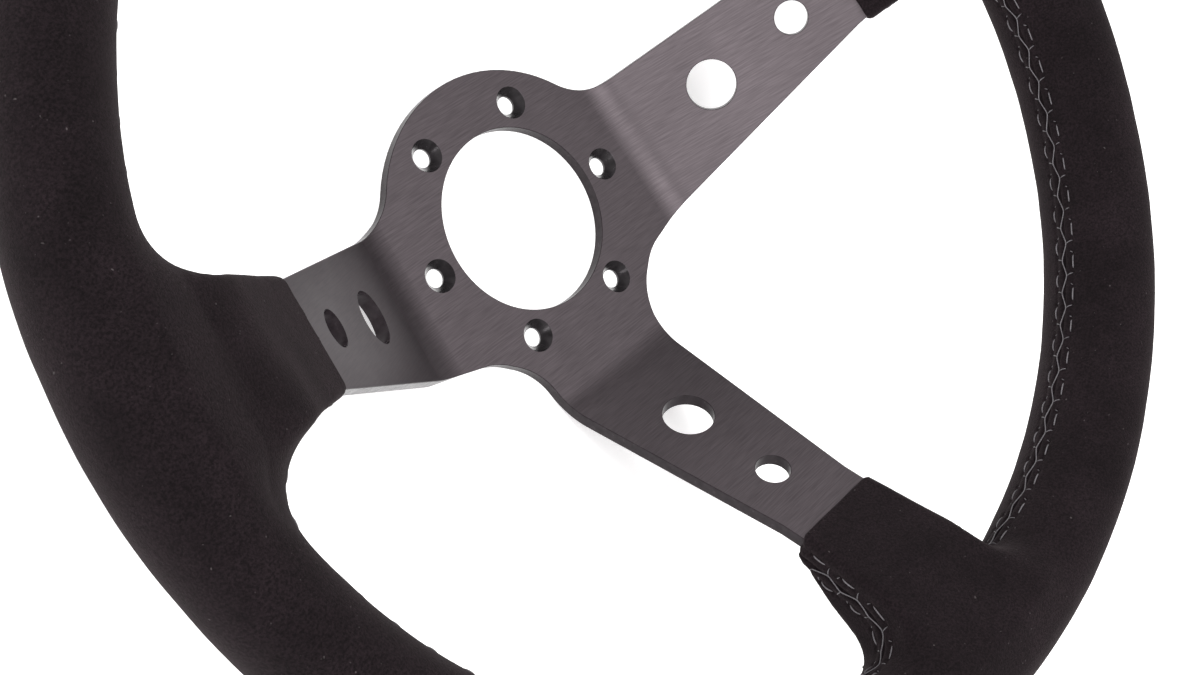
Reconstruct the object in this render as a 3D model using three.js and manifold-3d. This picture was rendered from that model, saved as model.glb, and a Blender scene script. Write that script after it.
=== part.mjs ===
// Deep-dish three-spoke steering wheel with a bare six-bolt hub.
// Millimetres. The origin is the centre of the hub's rear face, +Z points at the driver,
// +Y is up on the wheel and +X is its right-hand side.
import * as THREE from 'three';
import { mergeVertices } from 'three/addons/utils/BufferGeometryUtils.js';
import Module from 'manifold-3d';

const wasm = await Module();
wasm.setup();

// Hub
const PLATE_T = 4;
const HUB_R = 45;
const HUB_FILLET = 20;
const BORE_R = 27.4;
const BOLT_CIRCLE_R = 35;
const BOLTS = 6;
const BOLT_R = 2.75;
const SINK_R = 4.8;
const SINK_DEPTH = 3.1;

// Spokes
const SLOPE = THREE.MathUtils.degToRad(43.75);
const BEND_R = 16;
const BEND_STEPS = 5;
const SEAT_Z = 82.85;
const SPOKE_END = 153;
const ROOT_HALF_WIDTH = 20;
const TAPER = 0.13;
const TAPER_FROM = 65;
const TAPER_TO = 105;
const HOLE_RADII = [7.65, 5.1];

// Grip
const RIM_R = 160.6;
const RIM_Z = 78.3;
const GRIP_RADIAL = 14.2;
const GRIP_AXIAL = 16.7;
const GRIP_TILT = THREE.MathUtils.degToRad(15);
const RIM_INSIDE_R = RIM_R - GRIP_RADIAL;
const SUEDE_T = 0.9;
const GAP = 0.3;

// Pads that carry the grip down each spoke
const PAD_T = 1.9;
const PAD_SIDE = 1.2;
const PAD_FROM_BEND = 63.6;
const PAD_FLARE = 0.12;
const PAD_FILLET = 5;
const PAD_TOP_Z = 84.5;
const PAD_KNEE = 8;
const PAD_FRONT_ANGLE = THREE.MathUtils.degToRad(115);
const PAD_REAR_ANGLE = THREE.MathUtils.degToRad(245);
const PAD_INSIDE = 2.5;

// Sizes of the blanks that are cut to shape afterwards. The crown is the hub above the side spokes.
const CROWN_HALF_WIDTH = 40;
const CROWN_TOP = 50;
const BLANK_HALF_WIDTH = 60;
const BLANK_FLOOR = -5;
const BLANK_CEILING = 120;

// How many sides or steps the round shapes have
const BORE_SIDES = 60;
const HOLE_SIDES = 20;
const FILLET_STEPS = 6;
const HUB_STEPS = 14;
const GRIP_SIDES = 12;
const GRIP_STEPS = 64;
const RING_SIDES = 8;
const RING_STEPS = 60;
const RIVET_SIDES = 12;
const WEDGE_STEPS = 8;

// Ring inside the grip, its tabs and the rivets
const RING_R = 5;
const TAB_T = 2.5;
const TAB_FROM = 141;
const TAB_HALF_WIDTH = 12;
const RIVET_AT = 149;
const RIVET_SPACING = 16;
const RIVET_R = 2.4;
const RIVET_HEAD_R = 3.8;
const RIVET_HEAD_T = 1.2;
const RIVET_CROWN = 0.7;

// Seam stitching along the inside of the rim
const THREAD_R = 0.35;
const SEAM_ANGLE = THREE.MathUtils.degToRad(192.5);
const ROW_OFFSET = 2.8;
const STITCH_PITCH = 10.3;
const LACE_SWING = 0.95;

// Cover seams, in degrees round the rim
const SEAMS = { right_bottom: [-125, 45], top: [45, 135], left: [135, 235] };

// lean is the sideways drift of the centre line per mm of radius, bend is the radius where the
// sheet starts to rise, and holes are the radii of the lightening holes, the larger one first
const SPOKES = {
  right: { azimuth: THREE.MathUtils.degToRad(3.3), lean: 0.166, bend: 43.5, holes: [71.1, 93.4] },
  left: { azimuth: THREE.MathUtils.degToRad(176.7), lean: -0.166, bend: 43.5, holes: [71.1, 93.4] },
  bottom: { azimuth: THREE.MathUtils.degToRad(270), lean: 0, bend: 46.3, holes: [72.4, 94.6] },
};
const LEAN_FROM = 78.5;

// Windows between the spokes, in degrees round the rim, kept clear of the pads
const WINDOWS = { right: [-71.5, -12.5], top: [26.5, 153.5], left: [192.5, 251.5] };

const LOOKS = {
  plate: { color: 0x2e2b2d, metalness: 0.9, roughness: 0.42 },
  steel: { color: 0x8d8f92, metalness: 0.9, roughness: 0.45 },
  foam: { color: 0x1b1b1c, metalness: 0, roughness: 0.9 },
  suede: { color: 0x221d1e, metalness: 0, roughness: 0.95 },
  thread: { color: 0x56524f, metalness: 0, roughness: 0.8 },
};
const MATERIALS = Object.fromEntries(
  Object.entries(LOOKS).map(([name, look]) => [name, new THREE.MeshStandardMaterial(look)]),
);

// ---------- solids ----------

function solid(geometry) {
  const bare = geometry.clone();
  bare.deleteAttribute('normal');
  bare.deleteAttribute('uv');
  const merged = mergeVertices(bare, 1e-4);
  return new wasm.Manifold(new wasm.Mesh({
    numProp: 3,
    vertProperties: new Float32Array(merged.attributes.position.array),
    triVerts: new Uint32Array(merged.index.array),
  }));
}

function geometryOf(body) {
  const mesh = body.getMesh();
  const geometry = new THREE.BufferGeometry();
  geometry.setAttribute('position', new THREE.BufferAttribute(mesh.vertProperties, 3));
  geometry.setIndex(new THREE.BufferAttribute(mesh.triVerts, 1));
  geometry.computeVertexNormals();
  return geometry;
}

function union(bodies) {
  return bodies.reduce((whole, body) => whole.add(body));
}

function prism(points, bottom, top) {
  const geometry = new THREE.ExtrudeGeometry(new THREE.Shape(points), {
    depth: top - bottom,
    bevelEnabled: false,
  });
  return solid(geometry.translate(0, 0, bottom));
}

// A side profile, points of (radius, z), drawn out across the spoke
function sideProfile(spoke, points, halfWidth) {
  const geometry = new THREE.ExtrudeGeometry(new THREE.Shape(points), {
    depth: 2 * halfWidth,
    bevelEnabled: false,
  });
  geometry.translate(0, 0, -halfWidth).rotateX(Math.PI / 2).rotateZ(spoke.azimuth);
  return solid(geometry);
}

// A closed ring of any section, points of (radius, z)
function turned(points, segments) {
  const outline = points.map(([radius, z]) => new THREE.Vector2(radius, z));
  return new THREE.LatheGeometry(outline, segments).rotateX(Math.PI / 2);
}

function arc(centre, radius, from, to, steps) {
  const sweep = Math.atan2(Math.sin(to - from), Math.cos(to - from));
  return Array.from({ length: steps + 1 }, (_, i) => {
    const angle = from + (sweep * i) / steps;
    return new THREE.Vector2(
      centre.x + radius * Math.cos(angle),
      centre.y + radius * Math.sin(angle),
    );
  });
}

// ---------- spoke layout, seen from the driver ----------

function planPoint(spoke, radius, across) {
  return new THREE.Vector2(radius, across).rotateAround(new THREE.Vector2(), spoke.azimuth);
}

function centreLine(spoke, radius) {
  return spoke.lean * (radius - LEAN_FROM);
}

function halfWidth(radius) {
  return ROOT_HALF_WIDTH - TAPER * (Math.min(radius, TAPER_TO) - TAPER_FROM);
}

function edgePoint(spoke, radius, side, extra) {
  return planPoint(spoke, radius, centreLine(spoke, radius) + side * (halfWidth(radius) + extra));
}

// The arc, of this radius, that runs from a circle round the origin into the line from a to b.
// It lies outside the circle when that curves away from it, and inside it otherwise.
function blend(a, b, side, circle, radius, outside) {
  const along = b.clone().sub(a).normalize();
  const away = new THREE.Vector2(-along.y, along.x).multiplyScalar(side);
  const reach = outside ? circle + radius : circle - radius;
  const offset = a.dot(away) + radius;
  const far = Math.sqrt(reach * reach - offset * offset);
  const centre = away.clone().multiplyScalar(offset).addScaledVector(along, far);
  const atCircle = outside ? centre.clone().negate().angle() : centre.angle();
  const atLine = away.clone().negate().angle();
  return arc(centre, radius, atCircle, atLine, FILLET_STEPS);
}

function hubBlend(spoke, side, grow) {
  const a = edgePoint(spoke, HUB_R, side, grow);
  const b = edgePoint(spoke, TAPER_TO, side, grow);
  return blend(a, b, side, HUB_R + grow, HUB_FILLET - grow, true);
}

function plateOutline(grow) {
  const around = [SPOKES.right, SPOKES.left, SPOKES.bottom];
  return around.flatMap((spoke, i) => {
    const next = around[(i + 1) % around.length];
    const start = hubBlend(spoke, -1, grow);
    const finish = hubBlend(spoke, 1, grow).reverse();
    const edge = [[TAPER_TO, -1], [SPOKE_END + grow, -1], [SPOKE_END + grow, 1], [TAPER_TO, 1]];
    const from = finish.at(-1).angle();
    const to = hubBlend(next, -1, grow)[0].angle();
    const hub = arc(new THREE.Vector2(), HUB_R + grow, from, to, HUB_STEPS).slice(1, -1);
    const tip = edge.map(([radius, side]) => edgePoint(spoke, radius, side, grow));
    return [...start, ...tip, ...finish, ...hub];
  });
}

// ---------- spoke shape, seen from the side ----------

// Front face of the bent sheet: radius, z and the local slope
function frontFace(spoke) {
  const outerR = BEND_R + PLATE_T;
  const rise = BEND_R * (1 - Math.cos(SLOPE));
  const topZ = SEAT_Z - outerR * (1 - Math.cos(SLOPE));
  const topR = spoke.bend + BEND_R * Math.sin(SLOPE) + (topZ - PLATE_T - rise) / Math.tan(SLOPE);
  const lower = Array.from({ length: BEND_STEPS + 1 }, (_, i) => {
    const a = (SLOPE * i) / BEND_STEPS;
    return [spoke.bend + BEND_R * Math.sin(a), PLATE_T + BEND_R * (1 - Math.cos(a)), a];
  });
  const upper = Array.from({ length: BEND_STEPS + 1 }, (_, i) => {
    const a = SLOPE * (1 - i / BEND_STEPS);
    return [
      topR + outerR * (Math.sin(SLOPE) - Math.sin(a)),
      topZ + outerR * (Math.cos(a) - Math.cos(SLOPE)),
      a,
    ];
  });
  return [...lower, ...upper];
}

function offsetPoint([radius, z, slope], distance) {
  return new THREE.Vector2(radius - distance * Math.sin(slope), z + distance * Math.cos(slope));
}

function sheetProfile(spoke, grow) {
  const face = [[0, PLATE_T, 0], ...frontFace(spoke), [SPOKE_END + grow, SEAT_Z, 0]];
  const front = face.map((point) => offsetPoint(point, grow));
  const rear = face.map((point) => offsetPoint(point, -PLATE_T - grow)).reverse();
  return [...front, ...rear];
}

// A point on the straight part of the front face
function onSlope(spoke, radius) {
  const foot = frontFace(spoke)[BEND_STEPS];
  return [radius, foot[1] + (radius - foot[0]) * Math.tan(SLOPE), SLOPE];
}

function cut(body, ...tools) {
  return tools.reduce((left, tool) => left.subtract(tool), body);
}

// The bent sheet with no holes, grown by a margin on every side
function sheet(grow) {
  const strips = Object.values(SPOKES).map((spoke) => (
    sideProfile(spoke, sheetProfile(spoke, grow), HUB_R)
  ));
  const thickness = PLATE_T + 2 * grow;
  const crown = new THREE.BoxGeometry(2 * CROWN_HALF_WIDTH, CROWN_TOP, thickness)
    .translate(0, CROWN_TOP / 2, PLATE_T / 2);
  const outline = prism(plateOutline(grow), BLANK_FLOOR, BLANK_CEILING);
  return union([...strips, solid(crown)]).intersect(outline);
}

function drill(radius, from, to, sides = HOLE_SIDES) {
  return new THREE.CylinderGeometry(radius, radius, to - from, sides)
    .rotateX(Math.PI / 2)
    .translate(0, 0, (from + to) / 2);
}

function boltHole(index) {
  const sink = [
    [0, -1], [BOLT_R, -1], [BOLT_R, PLATE_T - SINK_DEPTH], [SINK_R, PLATE_T],
    [SINK_R, PLATE_T + 1], [0, PLATE_T + 1],
  ];
  const angle = (index * 2 * Math.PI) / BOLTS;
  return solid(turned(sink, HOLE_SIDES).translate(BOLT_CIRCLE_R, 0, 0).rotateZ(angle));
}

function lighteningHoles(spoke) {
  return spoke.holes.map((at, i) => {
    const [r, z] = onSlope(spoke, at);
    const hole = drill(HOLE_RADII[i], -2 * PLATE_T, PLATE_T).rotateY(-SLOPE).translate(r, 0, z);
    return solid(hole.translate(0, centreLine(spoke, at), 0).rotateZ(spoke.azimuth));
  });
}

function rivetPlaces(spoke) {
  return [-1, 1].map((side) => (
    planPoint(spoke, RIVET_AT, centreLine(spoke, RIVET_AT) + (side * RIVET_SPACING) / 2)
  ));
}

function rivetHoles(spoke) {
  return rivetPlaces(spoke).map((place) => (
    solid(drill(RIVET_R + GAP, BLANK_FLOOR, BLANK_CEILING).translate(place.x, place.y, 0))
  ));
}

function spokePlate() {
  const spokes = Object.values(SPOKES);
  const bore = drill(BORE_R, BLANK_FLOOR, BLANK_CEILING, BORE_SIDES);
  const bolts = Array.from({ length: BOLTS }, (_, i) => boltHole(i));
  const holes = [...spokes.flatMap(lighteningHoles), ...spokes.flatMap(rivetHoles)];
  return cut(sheet(0), solid(bore), ...bolts, ...holes);
}

// ---------- ring, tabs and rivets inside the grip ----------

function ring(grow) {
  const radius = RING_R + grow;
  const section = Array.from({ length: RING_SIDES + 1 }, (_, i) => {
    const angle = (i * 2 * Math.PI) / RING_SIDES;
    return [RIM_R + radius * Math.cos(angle), RIM_Z + radius * Math.sin(angle)];
  });
  return solid(turned(section, RING_STEPS));
}

function tab(spoke, grow) {
  const length = RIM_R - TAB_FROM + grow;
  const middle = TAB_FROM - grow + length / 2;
  const plate = new THREE.BoxGeometry(length, 2 * (TAB_HALF_WIDTH + grow), TAB_T + 2 * grow);
  plate.translate(middle, centreLine(spoke, RIVET_AT), SEAT_Z - PLATE_T - GAP - TAB_T / 2);
  return solid(plate.rotateZ(spoke.azimuth));
}

function rivet(place, grow) {
  const shank = RIVET_R + grow;
  const head = RIVET_HEAD_R + grow;
  const top = SEAT_Z + GAP - grow;
  const bottom = SEAT_Z - PLATE_T - TAB_T - 2 * GAP + grow;
  const section = [
    [0, bottom - RIVET_HEAD_T - 2 * grow], [head, bottom - RIVET_HEAD_T - 2 * grow],
    [head, bottom], [shank, bottom], [shank, top], [head, top],
    [RIVET_CROWN * head, top + RIVET_HEAD_T + 2 * grow], [0, top + RIVET_HEAD_T + 2 * grow],
  ];
  return solid(turned(section, RIVET_SIDES).translate(place.x, place.y, 0));
}

// ---------- grip ----------

function gripPoint(angle, grow) {
  const radial = (GRIP_RADIAL + grow) * Math.cos(angle);
  const axial = (GRIP_AXIAL + grow) * Math.sin(angle);
  return [
    RIM_R + radial * Math.cos(GRIP_TILT) + axial * Math.sin(GRIP_TILT),
    RIM_Z - radial * Math.sin(GRIP_TILT) + axial * Math.cos(GRIP_TILT),
  ];
}

function padOutline(spoke, grow) {
  const startR = spoke.bend + PAD_FROM_BEND - grow;
  const side = (sign) => {
    const at = (radius) => {
      const extra = PAD_SIDE + grow + PAD_FLARE * (radius - startR);
      return edgePoint(spoke, radius, sign, extra);
    };
    const corner = at(startR);
    const inside = RIM_INSIDE_R - grow;
    const curve = blend(corner, at(SPOKE_END), sign, inside, PAD_FILLET - grow, false);
    const rim = curve[0].clone().setLength(RIM_R);
    return [rim, ...curve, corner];
  };
  return [...side(1), ...side(-1).reverse()];
}

function padProfile(spoke, grow) {
  const startR = spoke.bend + PAD_FROM_BEND - grow;
  const start = onSlope(spoke, startR);
  const pad = PAD_T + grow;
  const front = offsetPoint(start, pad);
  const top = PAD_TOP_Z + grow;
  const knee = new THREE.Vector2(front.x + (top - front.y) / Math.tan(SLOPE), top);
  return [
    front,
    offsetPoint(start, -PLATE_T - pad),
    new THREE.Vector2(...gripPoint(PAD_REAR_ANGLE, grow - PAD_INSIDE)),
    new THREE.Vector2(RIM_R, RIM_Z),
    new THREE.Vector2(...gripPoint(PAD_FRONT_ANGLE, grow - PAD_INSIDE)),
    new THREE.Vector2(knee.x + PAD_KNEE, knee.y),
    knee.lerp(front, PAD_KNEE / knee.distanceTo(front)),
  ];
}

// The whole grip, rim and pads, grown by a margin
function grip(grow) {
  const section = Array.from({ length: GRIP_SIDES + 1 }, (_, i) => (
    gripPoint((i * 2 * Math.PI) / GRIP_SIDES, grow)
  ));
  const pads = Object.values(SPOKES).map((spoke) => (
    sideProfile(spoke, padProfile(spoke, grow), BLANK_HALF_WIDTH)
      .intersect(prism(padOutline(spoke, grow), BLANK_FLOOR, BLANK_CEILING))
  ));
  return union([solid(turned(section, GRIP_STEPS)), ...pads]);
}

function foam() {
  const spokes = Object.values(SPOKES);
  const tools = [
    sheet(GAP),
    ring(GAP),
    ...spokes.map((spoke) => tab(spoke, GAP)),
    ...spokes.flatMap(rivetPlaces).map((place) => rivet(place, GAP)),
  ];
  return cut(grip(-SUEDE_T - GAP), ...tools);
}

// A wedge round the Z axis between two directions, set back by half a gap at each
function wedge([from, to]) {
  const start = THREE.MathUtils.degToRad(from);
  const end = THREE.MathUtils.degToRad(to);
  const middle = (start + end) / 2;
  const back = GAP / 2 / Math.sin((end - start) / 2);
  const apex = new THREE.Vector2(back * Math.cos(middle), back * Math.sin(middle));
  const outer = Array.from({ length: WEDGE_STEPS + 1 }, (_, i) => {
    const angle = start + ((end - start) * i) / WEDGE_STEPS;
    return new THREE.Vector2(Math.cos(angle), Math.sin(angle)).multiplyScalar(2 * RIM_R).add(apex);
  });
  return prism([apex, ...outer], BLANK_FLOOR, BLANK_CEILING);
}

// ---------- stitching ----------

// Threads lie on the suede, so their centre line is one radius and a gap above it
function threadPoint(degrees, section) {
  const [radius, z] = gripPoint(section, THREAD_R + GAP);
  const angle = THREE.MathUtils.degToRad(degrees);
  return new THREE.Vector3(radius * Math.cos(angle), radius * Math.sin(angle), z);
}

function threadAlong(points, steps) {
  const section = new THREE.Shape().absarc(0, 0, THREAD_R, 0, 2 * Math.PI);
  return new THREE.ExtrudeGeometry(section, {
    steps,
    curveSegments: 2,
    extrudePath: new THREE.CatmullRomCurve3(points),
    bevelEnabled: false,
  });
}

// Points along a window, half a stitch apart, at the angle round the section that each one takes
function alongWindow([from, to], sectionAngle) {
  const length = THREE.MathUtils.degToRad(to - from) * RIM_INSIDE_R;
  const count = 2 * Math.round(length / STITCH_PITCH);
  return Array.from({ length: count + 1 }, (_, i) => (
    threadPoint(from + ((to - from) * i) / count, sectionAngle(i))
  ));
}

// The angle round the section at this distance from the seam, towards the rear
function besideSeam(distance) {
  return SEAM_ANGLE + distance / GRIP_AXIAL;
}

function stitchRow(window, distance) {
  const points = alongWindow(window, () => besideSeam(distance));
  return threadAlong(points, points.length - 1);
}

function lacing(window) {
  const points = alongWindow(window, (i) => besideSeam(i % 2 ? LACE_SWING : -LACE_SWING));
  return threadAlong(points, 2 * (points.length - 1));
}

// ---------- assembly ----------

const group = new THREE.Group();

function place(name, geometry, material) {
  const mesh = new THREE.Mesh(geometry, MATERIALS[material]);
  mesh.name = name;
  group.add(mesh);
}

place('spoke_plate', geometryOf(spokePlate()), 'plate');
place('rim_ring', geometryOf(ring(0)), 'steel');
place('grip_foam', geometryOf(foam()), 'foam');

for (const [name, spoke] of Object.entries(SPOKES)) {
  const holes = rivetHoles(spoke);
  place(`ring_tab_${name}`, geometryOf(cut(tab(spoke, 0), ring(GAP), ...holes)), 'steel');
  rivetPlaces(spoke).forEach((spot, i) => {
    place(`rivet_${name}_${i + 1}`, geometryOf(rivet(spot, 0)), 'steel');
  });
}

const cover = cut(grip(0), grip(-SUEDE_T), sheet(GAP));
for (const [name, seams] of Object.entries(SEAMS)) {
  place(`suede_cover_${name}`, geometryOf(cover.intersect(wedge(seams))), 'suede');
}

for (const [name, window] of Object.entries(WINDOWS)) {
  place(`lacing_${name}`, lacing(window), 'thread');
  place(`stitch_row_inner_${name}`, stitchRow(window, -ROW_OFFSET), 'thread');
  place(`stitch_row_rear_${name}`, stitchRow(window, ROW_OFFSET), 'thread');
}

export default group;
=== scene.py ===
"""Looks of the deep-dish steering wheel: a fine bent plate, a sewn suede grip and its stitching.

Lengths are millimetres in the wheel's own frame until a mesh is made, which is in metres.
"""

import math

import bmesh
import bpy
import numpy as np
from mathutils import Matrix, Vector
from mathutils.geometry import delaunay_2d_cdt
from mathutils.kdtree import KDTree


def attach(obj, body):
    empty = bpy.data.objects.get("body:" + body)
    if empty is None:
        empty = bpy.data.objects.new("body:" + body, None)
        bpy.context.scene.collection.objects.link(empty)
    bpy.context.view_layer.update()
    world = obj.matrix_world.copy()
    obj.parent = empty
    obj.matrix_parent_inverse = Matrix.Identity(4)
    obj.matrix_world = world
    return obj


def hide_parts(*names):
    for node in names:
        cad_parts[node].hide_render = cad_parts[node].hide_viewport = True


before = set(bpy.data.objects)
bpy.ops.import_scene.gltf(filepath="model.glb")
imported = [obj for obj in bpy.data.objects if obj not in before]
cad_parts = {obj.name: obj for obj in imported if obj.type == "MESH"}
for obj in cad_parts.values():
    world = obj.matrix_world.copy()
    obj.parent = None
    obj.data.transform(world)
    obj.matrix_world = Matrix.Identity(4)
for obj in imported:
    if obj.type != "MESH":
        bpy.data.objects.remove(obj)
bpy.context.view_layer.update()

MM = 0.001
TAU = 2 * math.pi

# Hub and sheet
PLATE_T = 4.0
HUB_R = 45.0
HUB_FILLET = 20.0
BORE_R = 27.4
BOLT_CIRCLE_R = 35.0
BOLTS = 6
BOLT_R = 2.75
SINK_R = 4.8
SINK_DEPTH = 3.1
CHAMFER = 0.15
LIP = 0.12
# Edges that turn by more than this many degrees stay sharp
CREASE = 25
# Material slots of the plate's walls; its faces have slot 0
EDGE_SLOT = 1
SINK_SLOT = 2
# How many points the plate's round shapes have
BORE_POINTS = 128
BOLT_POINTS = 40
HOLE_POINTS = 56
RIVET_POINTS = 20
FILLET_POINTS = 60
HUB_POINTS = 26
TAPER_POINTS = 8
# Every this many of a fillet's points is kept
FILLET_STRIDE = 3

# Spokes
SLOPE = math.radians(43.75)
BEND_R = 16.0
OUTER_BEND_R = BEND_R + PLATE_T
BEND_CUTS = 14
# Length of the front face that is tabulated, and the number of its points
FACE_LENGTH = 260
FACE_POINTS = 5201
SEAT_Z = 82.85
SPOKE_END = 153.0
ROOT_HALF_WIDTH = 20.0
TAPER = 0.13
TAPER_FROM = 65.0
TAPER_TO = 105.0
LEAN_FROM = 78.5
HOLE_RADII = (7.65, 5.1)
RIVET_AT = 149.0
RIVET_SPACING = 16.0
RIVET_HOLE_R = 2.7
SIDE_HOLES = (71.1, 93.4)
# lean: how far the centre line drifts sideways for each millimetre of radius
# bend: the radius where the lower bend starts
# holes: the radii of the two lightening holes
# blend: how far the pad's corner into the rim is filled, on its - side and its + side
SPOKES = {
    "right": {"azimuth": math.radians(3.3), "lean": 0.166, "bend": 43.5, "holes": SIDE_HOLES,
              "blend": (16.0, 16.0)},
    "left": {"azimuth": math.radians(176.7), "lean": -0.166, "bend": 43.5, "holes": SIDE_HOLES,
             "blend": (17.0, 30.0)},
    "bottom": {"azimuth": math.radians(270.0), "lean": 0.0, "bend": 46.3, "holes": (72.4, 94.6),
               "blend": (11.0, 12.0)},
}

# Grip
RIM_R = 160.6
RIM_Z = 78.3
GRIP_RADIAL = 14.2
GRIP_AXIAL = 16.7
GRIP_TILT = math.radians(15)
PAD_T = 1.7
PAD_SIDE = 0.8
PAD_FROM_BEND = 63.6
PAD_FLARE = 0.12
PAD_SPLAY = 0.11
KNEE_R = 20.0
PAD_TOP_Z = 84.5
PAD_ROUND = 2.2
# The pad's profile ends this deep under the rim's surface, at these two places round its section
PAD_INSET = 2.5
PAD_REAR_ANGLE = math.radians(245)
PAD_FRONT_ANGLE = math.radians(115)
KNEE_POINTS = 7
# The pad's width stops changing this far inside its start, and the splay at this depth
PAD_LEAD = 8
SPLAY_DEPTH = 20
# Middle of the pad, and how far from it the pad is worked out at all
PAD_CENTRE_R = 130.0
PAD_REACH = 90
# The corner blend changes over from side to side across this much on either side of the middle
PAD_MIDDLE = 8.0
# Blend on the rim's crown, and the height over which it takes the place of the corner's
PAD_BLEND = 16.0
PAD_CROWN = 10.0
# Where the blend ends, outside the rim's centre line, and the length over which it fades
FADE_END = 4
FADE_LENGTH = 10

# Windows, each from the + side of one spoke to the - side of the next
WINDOWS = {"top": ("right", "left"), "left": ("left", "bottom"), "right": ("bottom", "right")}
# Cover panels and the directions, in degrees, where they start and end
PANELS = {"right_bottom": (-125, 45), "top": (45, 135), "left": (135, 235)}

# Stitching
STITCH_PITCH = 10.3
FIRST_KNOT = 1.4
LAST_KNOT = 2.0
ROW_OFFSET = 2.8
LACE_SWING = 0.95
THREAD_R = 0.17
LACE_R = 0.14
# Along a stitch, in pitches from its lacing knot: the row's dash, and the lace's two holes
DASH_FROM = 0.19
DASH = 0.45
HOOK = 0.07
PULL = -0.30
SEAM_ANGLE = math.radians(194.7)
# Height of the seam where a pad starts and where it reaches the rim
SEAM_LOW_Z = 53.0
SEAM_HIGH_Z = 72.5
# The rough route of a seam runs along a pad, from this far past its start to this radius, and
# then, after a gap, round the rim
ROUTE_START = 0.5
ROUTE_END_R = 132
ROUTE_POINTS = 12
ROUTE_GAP = math.radians(9)
ARC_POINTS = 90
# Spacing of the route's points and of the seam's, and how many times each is softened
ROUTE_SPACING = 1.0
ROUTE_ROUNDS = 60
SEAM_SPACING = 0.5
SEAM_ROUNDS = 20
# A row's stitch: how deep its ends go, and how far its middle bows out
DASH_POINTS = 9
DASH_DIVE = 1.0
DASH_BOW = 0.25
# A lace dives over this length into its hole, and ends at this height
LACE_POINTS = 7
LACE_DIVE = 0.5
LACE_END = -0.4
# A pulled thread's stops from its hole: along the seam, across it, and height
PULL_STOPS = ((0.8, -1.3, -0.3), (0.4, -0.7, LACE_R), (0.0, 0.0, -0.3))
# Threads are tubes, narrower at the ends over this many points
TUBE_SIDES = 8
TUBE_SPACING = 0.45
TUBE_ROUNDS = 3
TUBE_END_POINTS = 1.2
TUBE_END_SCALE = 0.35

# Suede
LEATHER_T = 0.5
GRID_LOW = (-178.0, -178.0, 46.0)
GRID_HIGH = (178.0, 178.0, 98.0)
GRID_PITCH = 1.5
# Faces this close to a seam, and to a pad's end, are split in each round
REFINEMENTS = ((6.0, 6.0), (4.4, 3.0))
SEAM_REACH = 7.0
# Soft unevenness all over: height, length of its waves, and seed
UNEVENNESS = ((0.10, 34, 3), (0.05, 12, 4))
WAVES = 7
# Relief, each with its depth or height and its width
GROOVE_DEPTH = 0.55
GROOVE_WIDTH = 0.4
SWELL_HEIGHT = 0.16
SWELL_WIDTH = 0.8
SWELL_AT = 1.4
ROW_DEPTH = 0.10
ROW_WIDTH = 0.7
HOLE_DEPTH = 0.26
HOLE_WIDTH = 0.55
# The seams across the grip, from one panel to the next
CROSS_REACH = 6
CROSS_DEPTH = 0.7
CROSS_HEIGHT = 0.18
CROSS_SWELL_AT = 1.5
# The turned-in hem at the end of a pad: the part of the pad looked at, and where the hem ends
HEM_CENTRE_R = 110.0
HEM_REACH = 40
HEM_BEFORE = 8
HEM_AFTER = 30
HEM_LENGTH = 8.0
HEM_HEIGHT = 0.05
HEM_EDGE = 0.8
HEM_GROOVE_AT = 9.2
HEM_GROOVE_DEPTH = 0.03
HEM_GROOVE_WIDTH = 0.9
# How far the hem's edge wanders, the length of its waves, and their seed
HEM_WANDER = (0.9, 9, 8)


# ---------- small helpers ----------

def turn(points, angle):
    """Points of at least two columns, turned about Z."""
    points = np.array(points, float)
    c, s = math.cos(angle), math.sin(angle)
    x, y = points[:, 0].copy(), points[:, 1].copy()
    points[:, 0], points[:, 1] = c * x - s * y, s * x + c * y
    return points


def new_mesh(name, vertices, faces):
    mesh = bpy.data.meshes.new(name)
    mesh.from_pydata((np.asarray(vertices) * MM).tolist(), [], faces)
    mesh.update()
    piece = bpy.data.objects.new(name, mesh)
    bpy.context.scene.collection.objects.link(piece)
    return piece


def smooth_with_creases(piece):
    mesh = bmesh.new()
    mesh.from_mesh(piece.data)
    bmesh.ops.recalc_face_normals(mesh, faces=mesh.faces)
    for face in mesh.faces:
        face.smooth = True
    for edge in mesh.edges:
        edge.smooth = edge.calc_face_angle(0) < math.radians(CREASE)
    mesh.to_mesh(piece.data)
    mesh.free()


def settle(piece, material, node):
    """The piece rides on the wheel, takes the place of a CAD node, and gets its material."""
    piece.data.materials.append(material)
    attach(piece, "root")
    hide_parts(node)


# ---------- the spokes' shape ----------

def centre_line(spoke, radius):
    return spoke["lean"] * (radius - LEAN_FROM)


def half_width(radius):
    return ROOT_HALF_WIDTH - TAPER * (np.minimum(radius, TAPER_TO) - TAPER_FROM)


def bend_lengths():
    """Lengths of the lower bend, the straight slope and the upper bend, along the front face."""
    climb = SEAT_Z - PLATE_T - (BEND_R + OUTER_BEND_R) * (1 - math.cos(SLOPE))
    return BEND_R * SLOPE, climb / math.sin(SLOPE), OUTER_BEND_R * SLOPE


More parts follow.
